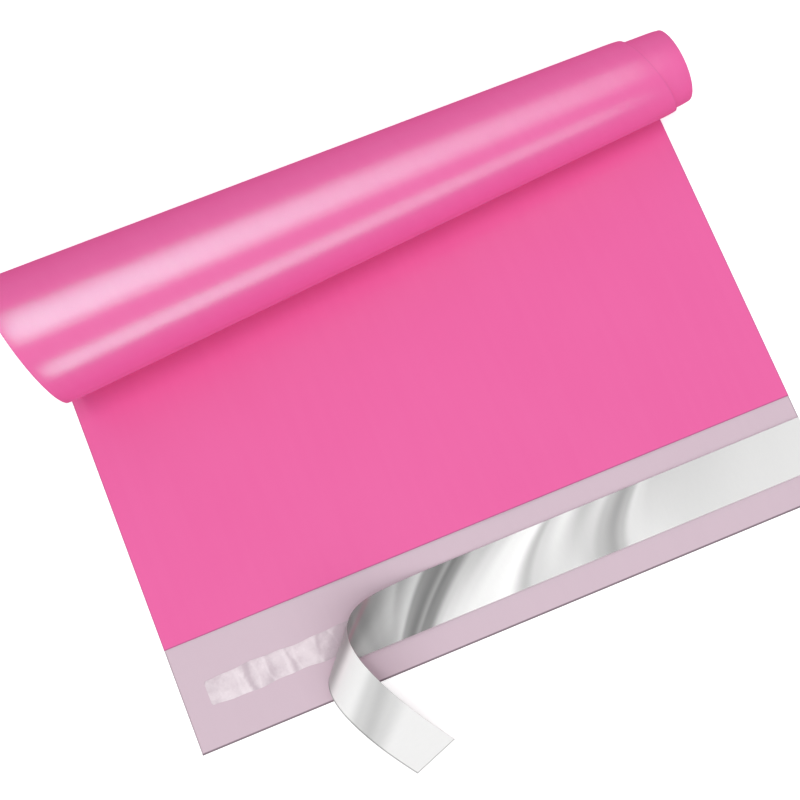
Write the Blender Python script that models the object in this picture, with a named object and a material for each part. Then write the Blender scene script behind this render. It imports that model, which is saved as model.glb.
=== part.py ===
"""Poly mailer bag: a film pouch with its closing flap open and its far end rolled up.

The bag lies on its back panel with the mouth towards -Y. Its far end is rolled up and
over onto the bag as a loose, tapered roll. The flap carries a strip of adhesive. The
release liner over it is peeled off at the left, and curls round until its loose end
lies on the table in front of the flap. Metres, +Z up, with the origin at the middle of
the whole object's base.

Each piece is cut flat, scored along the straight lines on which it bends, and then
bent. Flat film that is bent without stretching keeps such lines straight.
"""

import math

import bmesh
import bpy
from mathutils import Matrix, Quaternion, Vector

# The pouch: one web of film, folded at the bottom and welded along both sides
BAG_WIDTH = 0.254
BAG_LENGTH = 0.330
FLAP_LENGTH = 0.0404
FILM_THICKNESS = 0.0002
POCKET_GAP = 0.0002
SIDE_WELD = 0.004

# The roll: its outer turn leaves the table on a line across the bag
ROLL_RADIUS_LEFT = 0.0265
ROLL_RADIUS_RIGHT = 0.0168
ROLL_START_LEFT = 0.1210
ROLL_START_RIGHT = 0.1327
TURN_GAP = 0.0006
ROUND_ANGLE = math.radians(250)
FACET_ANGLE = math.radians(5)

# How far the film has crept sideways at each angle wound, in degrees and metres
ROLL_CREEP = (
    (0, 0.0),
    (115, -0.0098),
    (290, 0.0022),
    (480, 0.0062),
    (630, 0.0086),
)

# The adhesive on the flap, and the release liner that covers it. Each one's middle is
# set from the flap's free edge
ADHESIVE_WIDTH = 0.0090
ADHESIVE_THICKNESS = 0.0002
ADHESIVE_END_MARGIN = 0.0105
ADHESIVE_FROM_EDGE = 0.0199
LINER_WIDTH = 0.0204
LINER_THICKNESS = 0.0002
LINER_FROM_EDGE = 0.0213
SEAT_GAP = 0.0003

# The peeled length of the liner. At shares of that length from the peel line, it bends
# at a rate of this many degrees a peeled length, on lines that slant this much along it
PEELED_LENGTH = 0.0871
PEEL_STEPS = 44
PEEL_BEND_ANGLES = ((0, 100), (0.15, 80), (0.3, 429), (0.45, 314), (0.6, 90), (1, 15))
PEEL_SLANT_RATIOS = ((0, -1.95), (0.35, -0.5), (1, 0))

TURN = 2 * math.pi
POUCH_THICKNESS = 2 * FILM_THICKNESS + POCKET_GAP
TURN_STEP = POUCH_THICKNESS + TURN_GAP
HALF_WIDTH = BAG_WIDTH / 2
SEAT_HEIGHT = FILM_THICKNESS + SEAT_GAP
LINER_HEIGHT = SEAT_HEIGHT + ADHESIVE_THICKNESS + SEAT_GAP
ADHESIVE_MIDDLE = -FLAP_LENGTH + ADHESIVE_FROM_EDGE
LINER_MIDDLE = -FLAP_LENGTH + LINER_FROM_EDGE
OVERCUT = 0.005
SNAP = 1e-6


def clear_scene():
    for thing in list(bpy.data.objects):
        bpy.data.objects.remove(thing, do_unlink=True)


def new_collection(name):
    collection = bpy.data.collections.new(name)
    bpy.context.scene.collection.children.link(collection)
    return collection


def new_material(name, colour, roughness, metallic=0.0):
    material = bpy.data.materials.new(name)
    material.use_nodes = True
    shader = material.node_tree.nodes["Principled BSDF"]
    shader.inputs["Base Color"].default_value = (*colour, 1.0)
    shader.inputs["Roughness"].default_value = roughness
    shader.inputs["Metallic"].default_value = metallic
    return material


def smooth_between(knots, at):
    """A value that eases from each (place, value) knot to the next."""
    if at <= knots[0][0]:
        return knots[0][1]
    for (before, low), (after, high) in zip(knots, knots[1:]):
        if at <= after:
            share = (at - before) / (after - before)
            return low + (high - low) * share * share * (3 - 2 * share)
    return knots[-1][1]


def straight_between(knots, at):
    """A value that changes evenly from each (place, value) knot to the next."""
    for (before, low), (after, high) in zip(knots, knots[1:]):
        if at <= after:
            return low + (high - low) * (at - before) / (after - before)
    return knots[-1][1]


def add_box(name, low, high, collection):
    """A cube primitive stretched between two corners."""
    low, high = Vector(low), Vector(high)
    shape = bmesh.new()
    bmesh.ops.create_cube(
        shape, size=1, matrix=Matrix.LocRotScale((low + high) / 2, None, high - low)
    )
    mesh = bpy.data.meshes.new(name)
    shape.to_mesh(mesh)
    shape.free()
    box = bpy.data.objects.new(name, mesh)
    collection.objects.link(box)
    return box


def cut(body, cutter):
    """Take the cutter's shape out of the body, and hide the cutter."""
    boolean = body.modifiers.new(cutter.name, "BOOLEAN")
    boolean.operation = "DIFFERENCE"
    boolean.solver = "EXACT"
    boolean.object = cutter
    cutter.display_type = "WIRE"
    cutter.hide_render = True


def apply_cuts(body):
    """Put the cut shape into the body's own mesh."""
    bpy.context.view_layer.update()
    evaluated = body.evaluated_get(bpy.context.evaluated_depsgraph_get())
    body.data = bpy.data.meshes.new_from_object(evaluated)
    body.modifiers.clear()


def score(sheet, start, end):
    """Cut the sheet's faces along a straight line in plan, so that it can bend there."""
    along = Vector(end) - Vector(start)
    bmesh.ops.bisect_plane(
        sheet,
        geom=sheet.verts[:] + sheet.edges[:] + sheet.faces[:],
        dist=SNAP,
        plane_co=(start[0], start[1], 0),
        plane_no=(along.y, -along.x, 0),
    )


def bend(piece, score_lines, place):
    """Score a flat piece along each line, then move its points to their bent places."""
    sheet = bmesh.new()
    sheet.from_mesh(piece.data)
    for start, end in score_lines:
        score(sheet, start, end)
    for point in sheet.verts:
        point.co = place(point.co)
    bmesh.ops.triangulate(sheet, faces=sheet.faces[:])
    bmesh.ops.recalc_face_normals(sheet, faces=sheet.faces[:])
    sheet.to_mesh(piece.data)
    sheet.free()


def finish(piece, material):
    piece.data.materials.clear()
    piece.data.materials.append(material)
    piece.data.shade_smooth()
    piece.data.set_sharp_from_angle(angle=math.radians(30))


def across(left, right, x):
    """The value at x of a size that changes evenly across the bag."""
    return left + (right - left) * (x + HALF_WIDTH) / BAG_WIDTH


def roll_radius(x):
    return across(ROLL_RADIUS_LEFT, ROLL_RADIUS_RIGHT, x)


def roll_start(x):
    return across(ROLL_START_LEFT, ROLL_START_RIGHT, x)


def inset(angle):
    """How far inside the outer turn the film lies once it has wound this far.

    The outer turn is round up to ROUND_ANGLE. It then tightens, so that it clears
    the flat bag by one step when its turn is full, and by one more each turn after.
    """
    if angle < ROUND_ANGLE:
        return 0.0
    if angle < TURN:
        return TURN_STEP * (angle - ROUND_ANGLE) / (TURN - ROUND_ANGLE)
    return TURN_STEP * angle / TURN


def inset_length(angle):
    """The film that the tightening has saved by this angle."""
    closing = min(max(angle - ROUND_ANGLE, 0.0), TURN - ROUND_ANGLE)
    saved = TURN_STEP * closing * closing / (2 * (TURN - ROUND_ANGLE))
    if angle > TURN:
        saved += TURN_STEP * (angle * angle - TURN * TURN) / (2 * TURN)
    return saved


def film_at(x, angle):
    """The distance from the mouth, along the film, of the place wound this far."""
    return roll_start(x) + roll_radius(x) * angle - inset_length(angle)


def angle_at(x, along):
    """The angle that the film has wound at this distance from the mouth."""
    angle = 0.0
    for _ in range(30):
        angle = (along - roll_start(x) + inset_length(angle)) / roll_radius(x)
    return angle


def place_on_roll(flat):
    """Where a point of the flat pouch goes: the roll's section is a spiral about its axis."""
    x, along, height = flat
    angle = angle_at(x, along)
    if angle <= 0:
        return flat
    radius = roll_radius(x)
    arm = radius - inset(angle) - height
    creep = smooth_between(ROLL_CREEP, math.degrees(angle))
    return Vector((
        x + creep,
        roll_start(x) + arm * math.sin(angle),
        radius - arm * math.cos(angle),
    ))


def roll_score_lines():
    """One line across the pouch for each facet of the roll."""
    widest = max(angle_at(x, BAG_LENGTH) for x in (-HALF_WIDTH, HALF_WIDTH))
    lines = []
    for facet in range(math.ceil(widest / FACET_ANGLE)):
        angle = facet * FACET_ANGLE
        left = (-HALF_WIDTH, film_at(-HALF_WIDTH, angle))
        right = (HALF_WIDTH, film_at(HALF_WIDTH, angle))
        lines.append((left, right))
    return lines


def make_bag(collection, cutters):
    """The pouch: back panel and flap below, front panel above, with a pocket between."""
    bag = add_box(
        "bag",
        (-HALF_WIDTH, -FLAP_LENGTH, 0),
        (HALF_WIDTH, BAG_LENGTH, POUCH_THICKNESS),
        collection,
    )
    cut(bag, add_box(
        "above_the_flap",
        (-HALF_WIDTH - OVERCUT, -FLAP_LENGTH - OVERCUT, FILM_THICKNESS),
        (HALF_WIDTH + OVERCUT, 0, POUCH_THICKNESS + OVERCUT),
        cutters,
    ))
    cut(bag, add_box(
        "pocket",
        (-HALF_WIDTH + SIDE_WELD, -OVERCUT, FILM_THICKNESS),
        (HALF_WIDTH - SIDE_WELD, BAG_LENGTH - FILM_THICKNESS, FILM_THICKNESS + POCKET_GAP),
        cutters,
    ))
    apply_cuts(bag)
    bend(bag, roll_score_lines(), place_on_roll)
    finish(bag, new_material("pink_film", (0.87, 0.15, 0.40), 0.35))
    return bag


def make_adhesive(collection):
    """A flat band of adhesive along the flap, short of both sides of the bag."""
    half_length = HALF_WIDTH - ADHESIVE_END_MARGIN
    adhesive = add_box(
        "adhesive_strip",
        (-half_length, ADHESIVE_MIDDLE - ADHESIVE_WIDTH / 2, SEAT_HEIGHT),
        (half_length, ADHESIVE_MIDDLE + ADHESIVE_WIDTH / 2, SEAT_HEIGHT + ADHESIVE_THICKNESS),
        collection,
    )
    finish(adhesive, new_material("adhesive", (0.78, 0.68, 0.71), 0.3))
    return adhesive


class Peel:
    """The peeled length of the liner, as a row of bend lines along its middle."""

    def __init__(self):
        self.step = PEELED_LENGTH / PEEL_STEPS
        self.start_x = -HALF_WIDTH + PEELED_LENGTH
        spare = math.ceil(LINER_WIDTH / self.step)
        self.lines = []
        middle = Vector((self.start_x, LINER_MIDDLE, LINER_HEIGHT))
        along, side, up = Vector((-1, 0, 0)), Vector((0, 1, 0)), Vector((0, 0, 1))
        for count in range(PEEL_STEPS + spare):
            share = count / PEEL_STEPS
            slant = straight_between(PEEL_SLANT_RATIOS, share)
            self.lines.append((count * self.step, slant, middle.copy(), (along, side, up)))
            half_turn = self.turn(share, slant, along, side)
            middle += half_turn @ along * self.step
            along, side, up = (half_turn @ (half_turn @ way) for way in (along, side, up))

    def turn(self, share, slant, along, side):
        """Half of the turn between this bend line and the next."""
        axis = side + slant * along
        bend_rate = math.radians(straight_between(PEEL_BEND_ANGLES, share))
        return Quaternion(axis, bend_rate / PEEL_STEPS * axis.length / 2)

    def score_lines(self):
        """Each bend line as two points of the flat liner, on its two long sides."""
        for distance, slant, _, _ in self.lines:
            ends = []
            for side in (-LINER_WIDTH / 2, LINER_WIDTH / 2):
                ends.append((self.start_x - distance - side * slant, LINER_MIDDLE + side))
            yield ends

    def place(self, flat):
        """Where a point of the flat liner goes."""
        aside = flat.y - LINER_MIDDLE
        height = flat.z - LINER_HEIGHT
        distance = self.start_x - flat.x
        reach = [line[0] + aside * line[1] for line in self.lines]
        if distance <= reach[0]:
            return flat
        after = next((n for n, at in enumerate(reach) if at >= distance), len(reach) - 1)
        share = (distance - reach[after - 1]) / (reach[after] - reach[after - 1])
        points = []
        for _, slant, middle, (along, side, up) in self.lines[after - 1:after + 1]:
            points.append(middle + aside * (side + slant * along) + height * up)
        return points[0].lerp(points[1], share)


def make_liner(collection):
    """The release liner: flat over the adhesive at the right, peeled and curled at the left."""
    liner = add_box(
        "release_liner",
        (-HALF_WIDTH, LINER_MIDDLE - LINER_WIDTH / 2, LINER_HEIGHT),
        (HALF_WIDTH, LINER_MIDDLE + LINER_WIDTH / 2, LINER_HEIGHT + LINER_THICKNESS),
        collection,
    )
    peel = Peel()
    bend(liner, peel.score_lines(), peel.place)
    finish(liner, new_material("release_liner", (0.74, 0.75, 0.76), 0.25, 0.3))
    return liner


def centre_on_base(pieces):
    """Move the whole object so that the origin is the middle of its base."""
    points = [point.co for piece in pieces for point in piece.data.vertices]
    low = Vector(min(point[axis] for point in points) for axis in range(3))
    high = Vector(max(point[axis] for point in points) for axis in range(3))
    for piece in pieces:
        piece.location = (-(low.x + high.x) / 2, -(low.y + high.y) / 2, -low.z)


def main():
    clear_scene()
    parts = new_collection("poly_mailer_bag")
    cutters = new_collection("cutters")
    centre_on_base([make_bag(parts, cutters), make_adhesive(parts), make_liner(parts)])


main()
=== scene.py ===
"""Looks of the poly mailer bag.

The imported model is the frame, and three pieces here stand for its three nodes: the film
bag with its rolled end, the band of adhesive on its flap, and the release liner. Each
piece is laid out flat, in metres from the middle of the bag's mouth, and then placed.
"""

import math

import bpy
import numpy as np
from mathutils import Matrix, Quaternion, Vector


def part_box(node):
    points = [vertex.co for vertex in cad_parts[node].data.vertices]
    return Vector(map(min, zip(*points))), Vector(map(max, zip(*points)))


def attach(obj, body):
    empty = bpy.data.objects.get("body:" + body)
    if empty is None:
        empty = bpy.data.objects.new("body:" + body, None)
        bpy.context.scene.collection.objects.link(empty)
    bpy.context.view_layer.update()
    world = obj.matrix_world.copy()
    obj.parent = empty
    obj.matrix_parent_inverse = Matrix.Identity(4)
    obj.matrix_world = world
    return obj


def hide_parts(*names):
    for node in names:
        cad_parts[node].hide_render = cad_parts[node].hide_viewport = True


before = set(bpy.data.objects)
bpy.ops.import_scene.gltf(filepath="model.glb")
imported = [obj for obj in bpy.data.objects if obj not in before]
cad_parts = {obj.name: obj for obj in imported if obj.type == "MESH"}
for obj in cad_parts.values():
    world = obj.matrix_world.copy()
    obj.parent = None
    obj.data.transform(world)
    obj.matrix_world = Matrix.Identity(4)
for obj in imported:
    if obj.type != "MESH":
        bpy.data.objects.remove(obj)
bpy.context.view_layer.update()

# The pouch and its roll, as the part's source has them
BAG_WIDTH = 0.254
BAG_LENGTH = 0.330
FLAP_LENGTH = 0.0404
SIDE_WELD = 0.004
ROLL_RADIUS_LEFT = 0.0265
ROLL_RADIUS_RIGHT = 0.0168
ROLL_START_LEFT = 0.1210
ROLL_START_RIGHT = 0.1327
ROLL_CREEP = ((0, 0.0), (115, -0.0098), (290, 0.0022), (480, 0.0062), (630, 0.0086))
TURN_STEP = 0.0012
ROUND_ANGLE = math.radians(250)
TURN = 2 * math.pi
HALF_WIDTH = BAG_WIDTH / 2

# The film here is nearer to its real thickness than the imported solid's
FILM_THICKNESS = 0.00013
POCKET_GAP = 0.0001
POUCH_THICKNESS = 2 * FILM_THICKNESS + POCKET_GAP
MOUTH_LIFT = 0.00035
MOUTH_LIFT_LENGTH = 0.030
MOUTH_RIPPLES = ((0.35, 95, 0.8), (0.2, 210, 0.0))
CUT_EDGE = 0.0004
RIM_TURN = 0.0003
RIM_LENGTH = 0.005
RIM_START = math.radians(60)
ROLL_FINE_FROM = 0.118

# The adhesive and the liner, as the part's source has them
ADHESIVE_WIDTH = 0.0090
ADHESIVE_END_MARGIN = 0.0105
ADHESIVE_MIDDLE = -0.0205
LINER_WIDTH = 0.0204
LINER_MIDDLE = -0.0191
LINER_HEIGHT = 0.0010
PEELED_LENGTH = 0.0871
PEEL_STEPS = 44
PEEL_BEND_ANGLES = ((0, 100), (0.15, 80), (0.3, 429), (0.45, 314), (0.6, 90), (1, 15))
PEEL_SLANT_RATIOS = ((0, -1.95), (0.35, -0.5), (1, 0))

# What the scene adds to them: true thicknesses, adhesive that has run a little and clears
# where it was pulled, a liner pressed down away from the peel, and finer steps in the peel
ADHESIVE_LOW = 0.00016
ADHESIVE_LIFT = 0.0004
ADHESIVE_RUN = 0.0005
ADHESIVE_PULLED = -0.0725
LINER_THICKNESS = 0.0001
LINER_PRESSED = 0.00035
LINER_PRESSED_FROM = 0.004
LINER_PRESSED_OVER = 0.03
PEEL_PARTS = 4

# The camera, found from the bag's straight edges
CAMERA_LENS = 58.45
CAMERA_DISTANCE = 0.49563
CAMERA_AIM = (-0.010909, 0.054373)
CAMERA_ELEVATION = math.radians(80.281)
CAMERA_TURN = math.radians(21.988)
CAMERA_ROLL = math.radians(-0.166)

bag_low, bag_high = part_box("bag")
adhesive_low, adhesive_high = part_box("adhesive_strip")
MOUTH = Vector(((adhesive_low.x + adhesive_high.x) / 2, bag_low.y + FLAP_LENGTH, 0))


def smooth_between(knots, at):
    """A value that eases from each (place, value) knot to the next."""
    result = np.full_like(at, knots[0][1])
    for (before, low), (after, high) in zip(knots, knots[1:]):
        share = np.clip((at - before) / (after - before), 0, 1)
        result += (high - low) * share * share * (3 - 2 * share)
    return result


def straight_between(knots, at):
    """A value that changes evenly from each (place, value) knot to the next."""
    return np.interp(at, [knot[0] for knot in knots], [knot[1] for knot in knots])


def spaced(*stops):
    """Places from each stop to the next. A stop is a place and the spacing up to it."""
    places = [stops[0][0]]
    for (start, _), (end, spacing) in zip(stops, stops[1:]):
        count = max(1, round((end - start) / spacing))
        places += [start + (end - start) * n / count for n in range(1, count + 1)]
    return np.array(places)


def block_quads(filled):
    """The quads round the filled cells of a block, as corner numbers and flat normals."""
    corners = np.arange(np.prod([n + 1 for n in filled.shape]))
    corners = corners.reshape([n + 1 for n in filled.shape])
    padded = np.pad(filled, 1)
    quads, normals = [], []
    for axis in range(3):
        order = [axis, (axis + 1) % 3, (axis + 2) % 3]
        at = corners.transpose(order)
        cells = padded.transpose(order)[:, 1:-1, 1:-1]
        before, after = cells[:-1], cells[1:]
        ring = [at[:, :-1, :-1], at[:, 1:, :-1], at[:, 1:, 1:], at[:, :-1, 1:]]
        ring = np.stack(ring, -1)
        sides = ((before & ~after, 1, ring), (after & ~before, -1, ring[..., ::-1]))
        for wanted, way, found in sides:
            quads.append(found[wanted])
            normals.append(np.tile(np.eye(3)[axis] * way, (len(quads[-1]), 1)))
    return np.concatenate(quads), np.concatenate(normals)


def solid(name, xs, ys, zs, filled, place, choose, materials):
    """A closed mesh of a block's filled cells, bent to shape by place."""
    flat = np.stack(np.meshgrid(xs, ys, zs, indexing="ij"), -1)
    points = place(flat).reshape(-1, 3) + np.array(MOUTH)
    flat = flat.reshape(-1, 3)
    quads, normals = block_quads(filled)
    slots = choose(flat[quads].mean(1), normals)
    used, quads = np.unique(quads, return_inverse=True)
    mesh = bpy.data.meshes.new(name)
    mesh.from_pydata(points[used].tolist(), [], quads.reshape(-1, 4).tolist())
    mesh.attributes.new("flat", "FLOAT_VECTOR", "POINT").data.foreach_set(
        "vector", flat[used].astype(np.float32).ravel()
    )
    for material in materials:
        mesh.materials.append(material)
    mesh.polygons.foreach_set("material_index", slots.astype(np.int32))
    mesh.shade_smooth()
    mesh.set_sharp_from_angle(angle=math.radians(40))
    mesh.update()
    piece = bpy.data.objects.new(name, mesh)
    bpy.context.scene.collection.objects.link(piece)
    return piece


def add_tone(piece, name, shade):
    """Store a value for each point, worked out from its place on the flat sheet."""
    mesh = piece.data
    flat = np.empty(3 * len(mesh.vertices), np.float32)
    mesh.attributes["flat"].data.foreach_get("vector", flat)
    tone = mesh.attributes.new(name, "FLOAT", "POINT")
    tone.data.foreach_set("value", shade(flat.reshape(-1, 3)).astype(np.float32))


class Nodes:
    """A node tree, with short calls for its nodes. Each call returns an output socket."""

    def __init__(self, owner, shader):
        owner.use_nodes = True
        self.tree = owner.node_tree
        self.shader = self.tree.nodes[shader]

    def feed(self, value, socket):
        if isinstance(value, bpy.types.NodeSocket):
            self.tree.links.new(value, socket)
        elif isinstance(value, tuple) and len(value) == 3 and socket.type == "RGBA":
            socket.default_value = (*value, 1)
        else:
            socket.default_value = value

    def node(self, kind, **settings):
        made = self.tree.nodes.new(kind)
        for name, value in settings.items():
            setattr(made, name, value)
        return made

    def attribute(self, name, output="Vector"):
        return self.node("ShaderNodeAttribute", attribute_name=name).outputs[output]

    def maths(self, operation, *values):
        made = self.node("ShaderNodeMath", operation=operation)
        for value, socket in zip(values, made.inputs):
            self.feed(value, socket)
        return made.outputs[0]

    def set(self, socket, value):
        self.feed(value, self.shader.inputs[socket])

    def ease(self, value, low, high):
        """0 below low and 1 above high, easing between."""
        made = self.node("ShaderNodeMapRange", interpolation_type="SMOOTHSTEP")
        for number, socket in zip((value, low, high), made.inputs):
            self.feed(number, socket)
        return made.outputs[0]

    def stretched(self, vector, scales):
        made = self.node("ShaderNodeVectorMath", operation="MULTIPLY")
        self.feed(vector, made.inputs[0])
        self.feed(scales, made.inputs[1])
        return made.outputs[0]

    def noise(self, vector, scale, detail=2.0):
        made = self.node("ShaderNodeTexNoise")
        self.feed(vector, made.inputs["Vector"])
        self.feed(scale, made.inputs["Scale"])
        self.feed(detail, made.inputs["Detail"])
        return made.outputs["Fac"]

    def mix(self, share, first, second):
        made = self.node("ShaderNodeMix", data_type="RGBA")
        colours = [socket for socket in made.inputs if socket.type == "RGBA"]
        self.feed(share, made.inputs[0])
        self.feed(first, colours[0])
        self.feed(second, colours[1])
        return next(socket for socket in made.outputs if socket.type == "RGBA")

    def bump(self, height, distance):
        made = self.node("ShaderNodeBump")
        self.feed(height, made.inputs["Height"])
        self.feed(distance, made.inputs["Distance"])
        self.feed(made.outputs["Normal"], self.shader.inputs["Normal"])


class Look(Nodes):
    """A material with a Principled shader."""

    def __init__(self, name, **values):
        self.material = bpy.data.materials.new(name)
        super().__init__(self.material, "Principled BSDF")
        for socket, value in values.items():
            self.set(socket.replace("_", " "), value)


# The film's streaks, clouds and grain, and the painted shadow lines along its cut edges and
# mouth. A line is full within one distance of its edge, gone by another, and fainter on the roll
STREAK_STRETCH = (1.0, 0.05, 0.0)
STREAK_SCALE = 260.0
CLOUD_SCALE = 28.0
GRAIN_SCALE = 2600.0
FILM_ROUGHNESS = 0.26
FILM_BUMP = 0.00003
LINE_FADED = 0.0006
LINE_FULL = 0.0001
LINE_FREE_EDGE = 0.0003
LINE_FLAT = 0.55
LINE_ROLLED = 0.18
ROLLED_FROM = 0.105
ROLLED_FULLY = 0.125


def film_look(name, colour, pale, edge_shadow_colour, mouth_shadow_colour):
    """Blown film: faint streaks along its length, fine haze, and painted shadow lines at its cut
    edges and mouth.
    """
    look = Look(name, IOR=1.5)
    flat = look.attribute("flat")
    parts = look.node("ShaderNodeSeparateXYZ")
    look.feed(flat, parts.inputs[0])
    x, along = parts.outputs[0], parts.outputs[1]
    streaks = look.noise(look.stretched(flat, STREAK_STRETCH), STREAK_SCALE, 3.0)
    cloud = look.noise(flat, CLOUD_SCALE)
    grain = look.noise(flat, GRAIN_SCALE)
    tone = look.maths("MULTIPLY", look.maths("ADD", streaks, cloud), 0.5)
    base = look.mix(look.ease(tone, 0.35, 0.65), colour, pale)
    # A painted shadow line along the side edges, fainter on the roll
    side = look.ease(look.maths("ABSOLUTE", x), HALF_WIDTH - LINE_FADED, HALF_WIDTH - LINE_FULL)
    rolled = look.ease(along, ROLLED_FROM, ROLLED_FULLY)
    strength = look.maths("MULTIPLY_ADD", rolled, LINE_ROLLED - LINE_FLAT, LINE_FLAT)
    base = look.mix(look.maths("MULTIPLY", side, strength), base, edge_shadow_colour)
    # A painted shadow line along the flap's free edge
    free_edge = -FLAP_LENGTH + LINE_FREE_EDGE
    free = look.ease(along, free_edge + LINE_FADED, free_edge + LINE_FULL)
    base = look.mix(free, base, edge_shadow_colour)
    # A painted shadow line along the mouth
    mouth = look.ease(look.maths("ABSOLUTE", along), LINE_FADED, LINE_FULL)
    look.set("Base Color", look.mix(mouth, base, mouth_shadow_colour))
    gloss = look.maths("MULTIPLY_ADD", grain, 0.04, FILM_ROUGHNESS)
    look.set("Roughness", look.maths("MULTIPLY_ADD", streaks, 0.06, gloss))
    fine = look.maths("MULTIPLY", grain, 0.2)
    look.bump(look.maths("ADD", look.maths("MULTIPLY", streaks, 0.6), fine), FILM_BUMP)
    return look.material


# The adhesive's broad and fine clouds, and how much each whitens or clears it
ADHESIVE_CLOUD_SCALE = 170.0
ADHESIVE_FINE_SCALE = 900.0
ADHESIVE_CLOUD = 1.2
ADHESIVE_FINE = 0.3
ADHESIVE_BUMP = 0.0002


def adhesive_look():
    """Cloudy adhesive that lets the flap's mauve through where it is thin."""
    look = Look("adhesive", IOR=1.48)
    flat = look.attribute("flat")
    tone = look.attribute("tone", "Fac")
    stretched = look.stretched(flat, (1.0, ADHESIVE_WIDTH, 0.0))
    cloud = look.noise(stretched, ADHESIVE_CLOUD_SCALE, 3.0)
    fine = look.noise(stretched, ADHESIVE_FINE_SCALE)
    milky = look.maths("MULTIPLY_ADD", look.maths("SUBTRACT", cloud, 0.5), ADHESIVE_CLOUD, tone)
    milky = look.maths("MULTIPLY_ADD", look.maths("SUBTRACT", fine, 0.5), ADHESIVE_FINE, milky)
    look.set("Base Color", look.mix(look.ease(milky, 0.0, 1.0), ADHESIVE_THIN, ADHESIVE_MILKY))
    look.set("Roughness", look.maths("MULTIPLY_ADD", cloud, 0.2, 0.15))
    look.bump(look.maths("MULTIPLY_ADD", fine, ADHESIVE_FINE, cloud), ADHESIVE_BUMP)
    return look.material


# How the liner's painted tones of reflection, light and shade become colours, its haze, and the
# painted shadow line along its back's edges, which is gone by the first distance from an edge and
# full within the second
TONE_POWER = 2.2
HAZE_STRETCH = (1.0, 0.3, 0.0)
HAZE_SCALE = 900.0
LINER_TINT = (1.0, 1.0, 0.995)
LINER_BUMP = 0.00002
LINER_EDGE_SHADOW = 0.5
LINER_EDGE_SHADOW_LONG = (0.0007, 0.0003)
LINER_EDGE_SHADOW_END = (0.0005, 0.0002)


def liner_look(side, roughness, metallic):
    """Silvery release film. Its tone carries painted reflections of broad soft bands on the front,
    and painted light and shade on the back.
    """
    look = Look("liner_" + side, IOR=1.5, Metallic=metallic)
    flat = look.attribute("flat")
    # The tone is painted reflection on the front and painted light and shade on the back
    tone = look.maths("POWER", look.attribute("painted_light_" + side, "Fac"), TONE_POWER)
    haze = look.noise(look.stretched(flat, HAZE_STRETCH), HAZE_SCALE, 3.0)
    haze = look.maths("MULTIPLY_ADD", haze, 0.04, 0.98)
    made = look.node("ShaderNodeCombineXYZ")
    # On the back, a painted shadow line along the near long edge and along the end
    if side == "back":
        parts = look.node("ShaderNodeSeparateXYZ")
        look.feed(flat, parts.inputs[0])
        faded, full = LINER_EDGE_SHADOW_LONG
        near = LINER_MIDDLE - LINER_WIDTH / 2
        edge = look.ease(parts.outputs[1], near + faded, near + full)
        faded, full = LINER_EDGE_SHADOW_END
        end = look.ease(parts.outputs[0], -HALF_WIDTH + faded, -HALF_WIDTH + full)
        line = look.maths("MAXIMUM", edge, end)
        haze = look.maths("MULTIPLY", haze, look.maths("MULTIPLY_ADD", line, -LINER_EDGE_SHADOW, 1))
    for socket, share in zip(made.inputs, LINER_TINT):
        look.feed(look.maths("MULTIPLY", look.maths("MULTIPLY", tone, haze), share), socket)
    look.set("Base Color", made.outputs[0])
    look.set("Roughness", look.maths("MULTIPLY_ADD", haze, 0.05, roughness))
    look.bump(haze, LINER_BUMP)
    return look.material


def across(left, right, x):
    return left + (right - left) * (x + HALF_WIDTH) / BAG_WIDTH


def roll_radius(x):
    return across(ROLL_RADIUS_LEFT, ROLL_RADIUS_RIGHT, x)


def roll_start(x):
    return across(ROLL_START_LEFT, ROLL_START_RIGHT, x)


def inset(angle):
    """How far inside the outer turn the film lies once it has wound this far."""
    closing = TURN_STEP * (angle - ROUND_ANGLE) / (TURN - ROUND_ANGLE)
    wound = np.where(angle < TURN, closing, TURN_STEP * angle / TURN)
    return np.where(angle < ROUND_ANGLE, 0.0, wound)


def inset_length(angle):
    """The film that the tightening has saved by this angle."""
    closing = np.clip(angle - ROUND_ANGLE, 0, TURN - ROUND_ANGLE)
    saved = TURN_STEP * closing * closing / (2 * (TURN - ROUND_ANGLE))
    later = np.maximum(angle, TURN)
    return saved + TURN_STEP * (later * later - TURN * TURN) / (2 * TURN)


def angle_at(x, along):
    """The angle that the film has wound at this distance from the mouth."""
    angle = np.zeros_like(x)
    for _ in range(30):
        angle = (along - roll_start(x) + inset_length(angle)) / roll_radius(x)
    return np.maximum(angle, 0.0)


def mouth_lift(x, along):
    """How far the front panel stands off the back panel at the open mouth."""
    middle = np.clip(1 - (x / (HALF_WIDTH - SIDE_WELD)) ** 2, 0, 1)
    fade = np.exp(-np.maximum(along, 0) / MOUTH_LIFT_LENGTH)
    ripple = np.ones_like(x)
    for size, pace, start in MOUTH_RIPPLES:
        ripple += size * np.sin(pace * x + start)
    return MOUTH_LIFT * middle**1.5 * fade * ripple


def place_film(flat):
    """Where points of the flat pouch go: the roll's section is a spiral about its axis."""
    x, along, height = flat[..., 0], flat[..., 1], flat[..., 2]
    front = height > FILM_THICKNESS + POCKET_GAP / 2
    height = height + np.where(front, mouth_lift(x, along), 0.0)
    angle = angle_at(x, along)
    radius = roll_radius(x)
    rim = np.clip((abs(x) - HALF_WIDTH + RIM_LENGTH) / RIM_LENGTH, 0, 1)
    rim = RIM_TURN * rim * rim * np.clip((angle - RIM_START) / RIM_START, 0, 1)
    arm = radius - inset(angle) - height - rim
    creep = smooth_between(ROLL_CREEP, np.degrees(angle))
    rolled = (x + creep, roll_start(x) + arm * np.sin(angle), radius - arm * np.cos(angle))
    laid = (x, along, height)
    return np.where((angle > 0)[..., None], np.stack(rolled, -1), np.stack(laid, -1))


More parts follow.
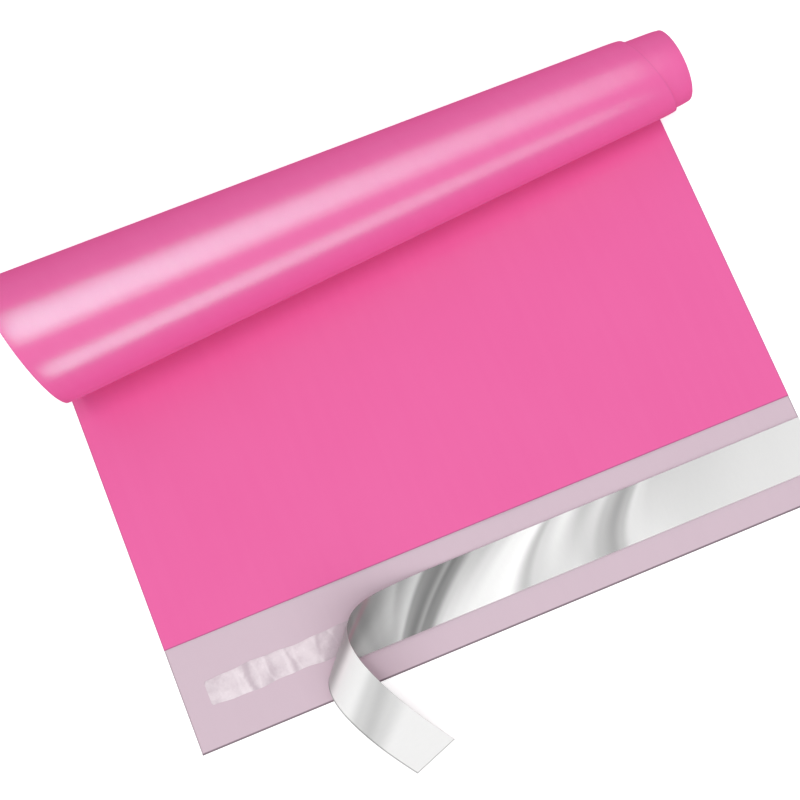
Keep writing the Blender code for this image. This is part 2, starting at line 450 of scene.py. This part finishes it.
def make_bag():
    """The pouch as one closed mesh: both panels, the flap, and the pocket between them."""
    inner = HALF_WIDTH - SIDE_WELD
    rim = HALF_WIDTH - CUT_EDGE
    xs = spaced(
        (-HALF_WIDTH, 1), (-rim, 1), (-inner, 0.0018), (inner, 0.005), (rim, 0.0018),
        (HALF_WIDTH, 1),
    )
    fold = BAG_LENGTH - FILM_THICKNESS
    ys = spaced(
        (-FLAP_LENGTH, 1), (-FLAP_LENGTH + CUT_EDGE, 1), (-CUT_EDGE, 0.004), (0, 1),
        (CUT_EDGE, 1), (ROLL_FINE_FROM, 0.004), (fold, 0.00085), (BAG_LENGTH, 1),
    )
    zs = np.array([0, FILM_THICKNESS, FILM_THICKNESS + POCKET_GAP, POUCH_THICKNESS])
    x = ((xs[:-1] + xs[1:]) / 2)[:, None]
    y = ((ys[:-1] + ys[1:]) / 2)[None, :]
    pouch = (y > 0) & (x > -HALF_WIDTH)
    welded = pouch & ((abs(x) > inner) | (y > fold))
    filled = np.stack([np.ones_like(pouch), welded, pouch], -1)

    def choose(centres, normals):
        outside = (normals[:, 2] < 0) & (centres[:, 2] < FILM_THICKNESS / 2)
        outside |= (normals[:, 2] > 0) & (centres[:, 2] > POUCH_THICKNESS - FILM_THICKNESS / 2)
        cut = np.where(centres[:, 1] < CUT_EDGE, 3, 2)
        return np.where(normals[:, 2] == 0, cut, np.where(outside, 0, 1))

    pink = film_look("film_outside", PINK, PINK_PALE, PINK_SHADOW_LINE, PINK_SHADOW_AT_MOUTH)
    mauve = film_look("film_inside", MAUVE, MAUVE_PALE, MAUVE_SHADOW_AND_CUT, MAUVE_PALE)
    # The cut faces are painted darker than the film, as painted shade along its edges
    cut = Look("film_cut_edge", Roughness=0.4, Base_Color=PINK_SHADED_CUT).material
    flap_cut = Look("flap_cut_edge", Roughness=0.4, Base_Color=MAUVE_SHADOW_AND_CUT).material
    bag = solid("film_bag", xs, ys, zs, filled, place_film, choose, [pink, mauve, cut, flap_cut])
    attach(bag, "root")
    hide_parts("bag")
    return bag


# Wrinkles of the adhesive: where each crosses its far and near edge, how wide it is, in
# millimetres, and how much it lifts and whitens the adhesive, or thins it. The whitening is
# partly milkiness where it is thicker and partly a painted highlight along the wrinkle
WRINKLES = (
    (-111, -109, 2.0, 0.12), (-106.5, -104.5, 0.5, 0.30), (-104.3, -103, 0.5, 0.30),
    (-101.8, -100.6, 1.3, -0.75), (-98.5, -98.2, 0.5, 0.20), (-95, -92.5, 0.4, 0.35),
    (-92, -94.5, 1.3, -0.30), (-87.5, -85.5, 0.6, 0.40), (-85, -84.4, 0.7, -0.45),
    (-83.2, -82, 0.4, 0.30), (-80, -76, 2.6, 0.25), (-75.5, -73.5, 0.6, 0.30),
    (-72, -76, 0.9, -0.35), (-68, -66, 0.5, 0.35), (-56, -57, 3.0, -0.60),
    (-41, -39, 0.5, 0.35), (-20, -22, 1.1, -0.45), (4, 7, 0.6, 0.35), (29, 26, 1.4, -0.40),
    (47, 49, 0.5, 0.30), (66, 64, 0.9, -0.45), (83, 86, 0.6, 0.35), (103, 100, 1.2, -0.40),
)


def wrinkled(x, share):
    """How much the wrinkles lift the adhesive here, as a share of its thickness."""
    lift = np.zeros_like(x)
    for far, near, width, change in WRINKLES:
        centre = (far + near) / 2 + (far - near) * share + 0.5 * np.sin(5 * share + far)
        lift += change * np.exp(-(((x * 1000 - centre) / width) ** 2))
    return lift


def adhesive_reach():
    """How far from the middle the adhesive, which has run a little when pressed, ends."""
    return HALF_WIDTH - ADHESIVE_END_MARGIN + 2 * ADHESIVE_RUN


# The adhesive narrows over a last stretch to a share of its width. It wanders in waves,
# each with its size, radians a metre, start and slant across the band, and it is highest
# along its middle
ADHESIVE_END = 0.0012
ADHESIVE_END_SHARE = 0.80
ADHESIVE_WAVES = ((0.0003, 190, 0, 2.5), (0.00015, 520, 1, 4))
ADHESIVE_RIM = 0.15
ADHESIVE_CROWN = 0.45
ADHESIVE_WRINKLED = 0.4


def place_adhesive(flat):
    """Where points of the flat band go. Only their x is in metres: y and z are shares."""
    x, share, level = flat[..., 0], flat[..., 1], flat[..., 2]
    end = np.clip((adhesive_reach() - abs(x)) / ADHESIVE_END, 0, 1)
    full = ADHESIVE_END_SHARE + (1 - ADHESIVE_END_SHARE) * np.sqrt(1 - (1 - end) ** 2)
    wander = np.zeros_like(x)
    for size, pace, start, slant in ADHESIVE_WAVES:
        wander += size * np.sin(pace * x + start + slant * share)
    y = ADHESIVE_MIDDLE + share * (ADHESIVE_WIDTH + 2 * ADHESIVE_RUN) * full + wander
    crown = 1 - (2 * share) ** 8
    crown = crown * (ADHESIVE_CROWN + ADHESIVE_WRINKLED * wrinkled(x, share))
    z = ADHESIVE_LOW + level * ADHESIVE_LIFT * (ADHESIVE_RIM + crown)
    return np.stack([x, y, z], -1)


# How milky the adhesive is, how much its wrinkles add as milkiness and painted highlight, and how
# much clearer it is where the liner has just been pulled off: from ADHESIVE_PULLED on, along a
# slant, over a length
MILKY = 0.63
WRINKLE_MILK_AND_HIGHLIGHT = 0.8
MILKY_PULLED = 0.9
PULLED_SLANT = 0.009
PULLED_LENGTH = 0.007


def milkiness(flat):
    x, share = flat[:, 0], flat[:, 1]
    pulled = np.clip((x - ADHESIVE_PULLED - PULLED_SLANT * share) / PULLED_LENGTH, 0, 1)
    pulled = pulled * pulled * (3 - 2 * pulled)
    # Wrinkles add milkiness and a painted highlight
    return MILKY + WRINKLE_MILK_AND_HIGHLIGHT * wrinkled(x, share) - MILKY_PULLED * pulled


def make_adhesive():
    xs = spaced((-adhesive_reach(), 1), (adhesive_reach(), 0.0004))
    ys = spaced((-0.5, 1), (0.5, 1 / 18))
    zs = np.array([0.0, 1.0])
    filled = np.ones((len(xs) - 1, len(ys) - 1, 1), bool)
    adhesive = solid(
        "adhesive_band", xs, ys, zs, filled, place_adhesive,
        lambda centres, normals: np.zeros(len(centres)), [adhesive_look()],
    )
    add_tone(adhesive, "tone", milkiness)
    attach(adhesive, "root")
    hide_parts("adhesive_strip")


def peel_rulings():
    """The lines on which the peeled liner bends: each one's distance, slant and frame."""
    steps = PEEL_STEPS * PEEL_PARTS
    step = PEELED_LENGTH / steps
    middle = Vector((-HALF_WIDTH + PEELED_LENGTH, LINER_MIDDLE, LINER_HEIGHT))
    along, side, up = Vector((-1, 0, 0)), Vector((0, 1, 0)), Vector((0, 0, 1))
    rows = []
    for count in range(steps + math.ceil(LINER_WIDTH / step)):
        slant = float(straight_between(PEEL_SLANT_RATIOS, count / steps))
        rows.append((count * step, slant, middle.copy(), side + slant * along, up.copy()))
        axis = side + slant * along
        share = count // PEEL_PARTS / PEEL_STEPS
        rate = math.radians(straight_between(PEEL_BEND_ANGLES, share))
        half_turn = Quaternion(axis, rate / steps * axis.length / 2)
        middle += half_turn @ along * step
        along, side, up = (half_turn @ (half_turn @ way) for way in (along, side, up))
    return [np.array([row[n] for row in rows]) for n in range(5)]


def place_liner(flat):
    """Where points of the flat liner go: flat on the adhesive, then along the peel."""
    distances, slants, middles, rulings, ups = peel_rulings()
    points = flat.copy()
    start = -HALF_WIDTH + PEELED_LENGTH
    for row in range(flat.shape[1]):
        aside = flat[0, row, 0, 1] - LINER_MIDDLE
        reach = distances + aside * slants
        for level in range(flat.shape[2]):
            height = flat[0, row, level, 2] - LINER_HEIGHT
            places = middles + aside * rulings + height * ups
            distance = start - flat[:, row, level, 0]
            peeled = distance > reach[0]
            for axis in range(3):
                found = np.interp(distance, reach, places[:, axis])
                points[:, row, level, axis] = np.where(peeled, found, points[:, row, level, axis])
    pressed = np.clip((flat[..., 0] - start + LINER_PRESSED_FROM) / LINER_PRESSED_OVER, 0, 1)
    drop = LINER_HEIGHT - LINER_PRESSED - ADHESIVE_LOW
    points[..., 2] -= drop * pressed * pressed * (3 - 2 * pressed)
    return points


# Painted reflections of soft bands on the liner's front, and painted light and shade on its back:
# where each shade lies on the far long edge and on the near one, in millimetres from the bag's
# middle, and how light it is there
FRONT_PAINTED_REFLECTIONS = (
    (-66, -62, 0.78, 0.71), (-60, -58, 0.74, 0.68), (-55, -54, 0.68, 0.63),
    (-48, -51.5, 0.72, 0.66), (-39.5, -48.5, 0.81, 0.68), (-36.5, -47, 0.68, 0.72),
    (-29, -45, 0.80, 0.79), (-26, -43.5, 0.55, 0.60), (-20, -40, 0.48, 0.48),
    (-16.7, -37.5, 0.61, 0.63), (-14.5, -36.3, 0.46, 0.53), (-12, -33.5, 0.54, 0.54),
    (-6, -30, 0.775, 0.81), (-2, -27.5, 0.77, 0.88), (5, -22, 0.86, 0.92),
    (12, -14, 0.965, 0.96), (19, -2, 1.00, 1.00), (23, 5.3, 0.76, 0.77),
    (25.5, 9, 0.86, 0.855), (31, 17, 0.95, 0.88), (38.7, 26, 0.775, 0.885),
    (46, 32, 0.875, 0.825), (50, 36.5, 0.76, 0.75), (54.8, 41.8, 0.65, 0.68),
    (58.3, 45, 0.73, 0.77), (61.2, 49, 0.90, 0.905), (62.5, 53, 0.87, 0.915),
    (66, 58, 0.83, 0.91), (80, 75, 0.84, 0.88), (110, 105, 0.885, 0.90),
    (127, 127, 0.90, 0.91),
)
# The back's tones are painted light at the bend and painted shade in the band and by the fold
BACK_PAINTED_LIGHT_AND_SHADE = (
    (-127, -127, 0.97, 0.97), (-106, -113, 0.97, 0.97), (-99, -107, 0.88, 0.86),
    (-93, -103, 0.80, 0.80), (-89, -98, 0.86, 0.86), (-84, -92, 1.00, 1.00),
    (-77, -85, 1.00, 1.00), (-71.5, -79, 0.64, 0.74), (127, 127, 0.98, 0.98),
)

# How far each painted band bows along the liner between its two edges, in millimetres
PAINTED_BAND_BOWS = ((-60, 0), (-30, -1.2), (-5, -1.5), (15, -2.1), (45, -2.5), (127, 0))


def painted_band_tone(flat, painted_band_tones):
    """How light each point of the flat liner is painted, easing from one painted shade to the next.
    """
    near = (LINER_MIDDLE - flat[:, 1]) / LINER_WIDTH + 0.5
    far_at, near_at, far_tone, near_tone = np.array(painted_band_tones).T
    x = flat[:, 0] * 1000
    x = x - straight_between(PAINTED_BAND_BOWS, x) * 4 * near * (1 - near)
    tone = np.full(len(flat), painted_band_tones[0][2])
    for n in range(len(painted_band_tones) - 1):
        start = far_at[n] + (near_at[n] - far_at[n]) * near
        end = far_at[n + 1] + (near_at[n + 1] - far_at[n + 1]) * near
        share = np.clip((x - start) / (end - start), 0, 1)
        before = far_tone[n] + (near_tone[n] - far_tone[n]) * near
        after = far_tone[n + 1] + (near_tone[n + 1] - far_tone[n + 1]) * near
        eased = share * share * (3 - 2 * share)
        tone = np.where(x >= start, before + (after - before) * eased, tone)
    return tone


def make_liner():
    xs = spaced((-HALF_WIDTH, 1), (HALF_WIDTH, 0.0006))
    ys = spaced((LINER_MIDDLE - LINER_WIDTH / 2, 1), (LINER_MIDDLE + LINER_WIDTH / 2, 0.0008))
    zs = np.array([LINER_HEIGHT, LINER_HEIGHT + LINER_THICKNESS])
    filled = np.ones((len(xs) - 1, len(ys) - 1, 1), bool)
    front = liner_look("front", roughness=0.2, metallic=0.6)
    back = liner_look("back", roughness=0.3, metallic=0.05)
    liner = solid(
        "release_film", xs, ys, zs, filled, place_liner,
        lambda centres, normals: np.where(normals[:, 2] < 0, 1, 0), [front, back],
    )
    # Painted reflections on the front and painted light and shade on the back, kept for each point
    add_tone(liner, "painted_light_front", lambda flat: painted_band_tone(flat, FRONT_PAINTED_REFLECTIONS))
    add_tone(liner, "painted_light_back", lambda flat: painted_band_tone(flat, BACK_PAINTED_LIGHT_AND_SHADE))
    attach(liner, "root")
    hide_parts("release_liner")


# Base colours, as linear values. The darker edge, mouth and cut colours are painted shadow
PINK = (0.862, 0.122, 0.386)
PINK_PALE = (0.868, 0.128, 0.394)
PINK_SHADOW_LINE = (0.50, 0.11, 0.27)
PINK_SHADED_CUT = (0.62, 0.12, 0.32)
PINK_SHADOW_AT_MOUTH = (0.50, 0.09, 0.26)
MAUVE = (0.664, 0.518, 0.597)
MAUVE_PALE = (0.672, 0.526, 0.604)
MAUVE_SHADOW_AND_CUT = (0.20, 0.145, 0.175)
ADHESIVE_THIN = (0.60, 0.50, 0.555)
ADHESIVE_MILKY = (0.865, 0.770, 0.815)


# The floor and the world: their colours and levels, lit and as reflections show them
FLOOR_SIZE = 6
FLOOR_BELOW = 0.00002
FLOOR_COLOUR = (0.82, 0.82, 0.82)
FLOOR_MIRRORED = (0.60, 0.09, 0.22)
FLOOR_LIFT = 0.48
FILL_LEVEL = 0.33
SKY_LOW = 0.14
SKY_HIGH = 1.0
SKY_RISES_FROM = 0.3
SKY_RISES_TO = 0.9


def make_floor():
    """A wide pale floor: white to the camera where it is lit, and pink in reflections."""
    bpy.ops.mesh.primitive_plane_add(size=FLOOR_SIZE, location=(0, 0, -FLOOR_BELOW))
    floor = bpy.context.object
    floor.name = "floor"
    look = Look("floor", Roughness=0.9, Specular_IOR_Level=0.0, Emission_Color=(1, 1, 1))
    path = look.node("ShaderNodeLightPath")
    look.set("Base Color", look.mix(path.outputs["Is Glossy Ray"], FLOOR_COLOUR, FLOOR_MIRRORED))
    seen = look.maths("MAXIMUM", path.outputs["Is Camera Ray"], path.outputs["Is Transmission Ray"])
    look.set("Emission Strength", look.maths("MULTIPLY", seen, FLOOR_LIFT))
    floor.data.materials.append(look.material)
    return floor


def make_world():
    """Soft light from all round: white to the camera, and darker low down in reflections."""
    world = bpy.data.worlds.new("studio")
    bpy.context.scene.world = world
    sky = Nodes(world, "Background")
    path = sky.node("ShaderNodeLightPath")
    way = sky.node("ShaderNodeSeparateXYZ")
    sky.feed(sky.node("ShaderNodeTexCoord").outputs["Generated"], way.inputs[0])
    high = sky.ease(way.outputs[2], SKY_RISES_FROM, SKY_RISES_TO)
    mirrored = sky.maths("MULTIPLY_ADD", high, SKY_HIGH - SKY_LOW, SKY_LOW)
    mirrored = sky.maths("MULTIPLY", mirrored, path.outputs["Is Glossy Ray"])
    seen = sky.maths("MAXIMUM", path.outputs["Is Camera Ray"], path.outputs["Is Transmission Ray"])
    sky.set("Color", (1, 1, 1))
    sky.set("Strength", sky.maths("MAXIMUM", sky.maths("MAXIMUM", seen, mirrored), FILL_LEVEL))


# The strip lights: how far behind the roll's axis the upper one lies, how wide they shine,
# their colour, and the shares of their length over which they fade in and out
STRIP_BEHIND = 0.0015
STRIP_SPREAD = math.radians(120)
STRIP_COLOUR = (0.3, 1.0, 0.86)
STRIP_FADES = (0.04, 0.14)


def add_light(name, kind, place, axes, **settings):
    light = bpy.data.lights.new(name, kind)
    for setting, value in settings.items():
        setattr(light, setting, value)
    lamp = bpy.data.objects.new(name, light)
    bpy.context.scene.collection.objects.link(lamp)
    lamp.matrix_world = Matrix.Translation(place) @ Matrix(axes).transposed().to_4x4()
    return lamp


def sun_from(name, azimuth, elevation, level, softness):
    """A sun that no reflection shows. Azimuth 0 is in front.

    Its level is how bright it alone makes a white floor, at any elevation.
    """
    a, e = math.radians(azimuth), math.radians(elevation)
    away = Vector((math.sin(a) * math.cos(e), -math.cos(a) * math.cos(e), math.sin(e)))
    across_it = Vector((math.cos(a), math.sin(a), 0))
    strength = math.pi * level / math.sin(e)
    axes = (across_it, away.cross(across_it), away)
    sun = add_light(name, "SUN", away, axes, energy=strength, angle=math.radians(softness))
    sun.visible_glossy = False
    return sun


def strip(name, start, end, away, width, radiance, falloff, lit):
    """A strip light that shows only as a reflection, and faces against away.

    The falloff is the share of its radiance at each end, and it fades towards its sides
    and its ends. It lights only the pieces of one collection.
    """
    long_way = end - start
    length = long_way.length
    long_way.normalize()
    back = (away - away.dot(long_way) * long_way).normalized()
    axes = (long_way, back.cross(long_way), back)
    power = radiance * math.pi * length * width
    lamp = add_light(
        name, "AREA", (start + end) / 2, axes,
        shape="RECTANGLE", size=length, size_y=width, energy=power, color=STRIP_COLOUR,
    )
    lamp.data.spread = STRIP_SPREAD
    lamp.data.cycles.use_multiple_importance_sampling = False
    lamp.light_linking.receiver_collection = lit
    lamp.visible_camera = False
    lamp.visible_diffuse = False
    lamp.visible_transmission = False
    glow = Nodes(lamp.data, "Emission")
    way = glow.node("ShaderNodeSeparateXYZ")
    glow.feed(glow.node("ShaderNodeNewGeometry").outputs["Parametric"], way.inputs[0])
    first, last = falloff
    level = glow.maths("MULTIPLY_ADD", way.outputs[0], last - first, first)
    side = glow.maths("MULTIPLY_ADD", way.outputs[1], 2, -1)
    middle = glow.maths("SUBTRACT", 1, glow.maths("MULTIPLY", side, side))
    level = glow.maths("MULTIPLY", level, middle)
    for low, high in ((0, STRIP_FADES[0]), (1, 1 - STRIP_FADES[1])):
        level = glow.maths("MULTIPLY", level, glow.ease(way.outputs[0], low, high))
    glow.set("Strength", level)


def roll_line(x, above):
    """A point just behind the roll's axis, at a height above its top."""
    return MOUTH + Vector((x, roll_start(x) + STRIP_BEHIND, 2 * roll_radius(x) + above))


def roll_front(x, facing, beyond, reach):
    """A point off the roll's front: from its face at one elevation, out along another."""
    centre = MOUTH + Vector((x, roll_start(x), roll_radius(x)))
    for elevation, length in ((facing, roll_radius(x)), (beyond, reach)):
        angle = math.radians(elevation)
        centre += length * Vector((0, -math.cos(angle), math.sin(angle)))
    return centre


def collected(name, piece):
    """A collection of one piece, for a light that works on that piece alone."""
    collection = bpy.data.collections.new(name)
    collection.objects.link(piece)
    return collection


def make_lights(bag, floor):
    lit = collected("lit_by_strips", bag)
    sun_from("top_light", azimuth=0, elevation=89, level=0.26, softness=22)
    sun_from("front_light", azimuth=0, elevation=42, level=0.27, softness=80)
    back = sun_from("back_light", azimuth=180, elevation=38, level=0.12, softness=60)
    back.light_linking.blocker_collection = collected("shades_back_light", floor)
    strip(
        "top_strip", roll_line(-0.138, above=0.010), roll_line(0.148, above=0.014),
        away=Vector((0, 0, 1)), width=0.031, radiance=6.15, falloff=(0.89, 0.21), lit=lit,
    )
    strip(
        "front_strip", roll_front(-0.131, facing=46, beyond=21, reach=0.025),
        roll_front(0.140, facing=53, beyond=34, reach=0.025),
        away=Vector((0, -1, 0)), width=0.023, radiance=5.3, falloff=(1.0, 0.44), lit=lit,
    )


def make_camera():
    flat = Vector((math.sin(CAMERA_TURN), math.cos(CAMERA_TURN), 0))
    right = Vector((math.cos(CAMERA_TURN), -math.sin(CAMERA_TURN), 0))
    up = Vector((0, 0, 1))
    look = math.cos(CAMERA_ELEVATION) * flat - math.sin(CAMERA_ELEVATION) * up
    top = math.sin(CAMERA_ELEVATION) * flat + math.cos(CAMERA_ELEVATION) * up
    side = math.cos(CAMERA_ROLL) * right + math.sin(CAMERA_ROLL) * top
    top = math.cos(CAMERA_ROLL) * top - math.sin(CAMERA_ROLL) * right
    place = MOUTH + Vector((*CAMERA_AIM, 0)) - CAMERA_DISTANCE * look
    camera = bpy.data.objects.new("camera", bpy.data.cameras.new("camera"))
    camera.data.lens = CAMERA_LENS
    camera.data.clip_start = 0.01
    camera.matrix_world = Matrix.Translation(place) @ Matrix((side, top, -look)).transposed().to_4x4()
    bpy.context.scene.collection.objects.link(camera)
    bpy.context.scene.camera = camera


bpy.context.scene.view_settings.view_transform = "Standard"
make_camera()
film_bag = make_bag()
make_adhesive()
make_liner()
pale_floor = make_floor()
make_world()
make_lights(film_bag, pale_floor)

bpy.context.view_layer.update()
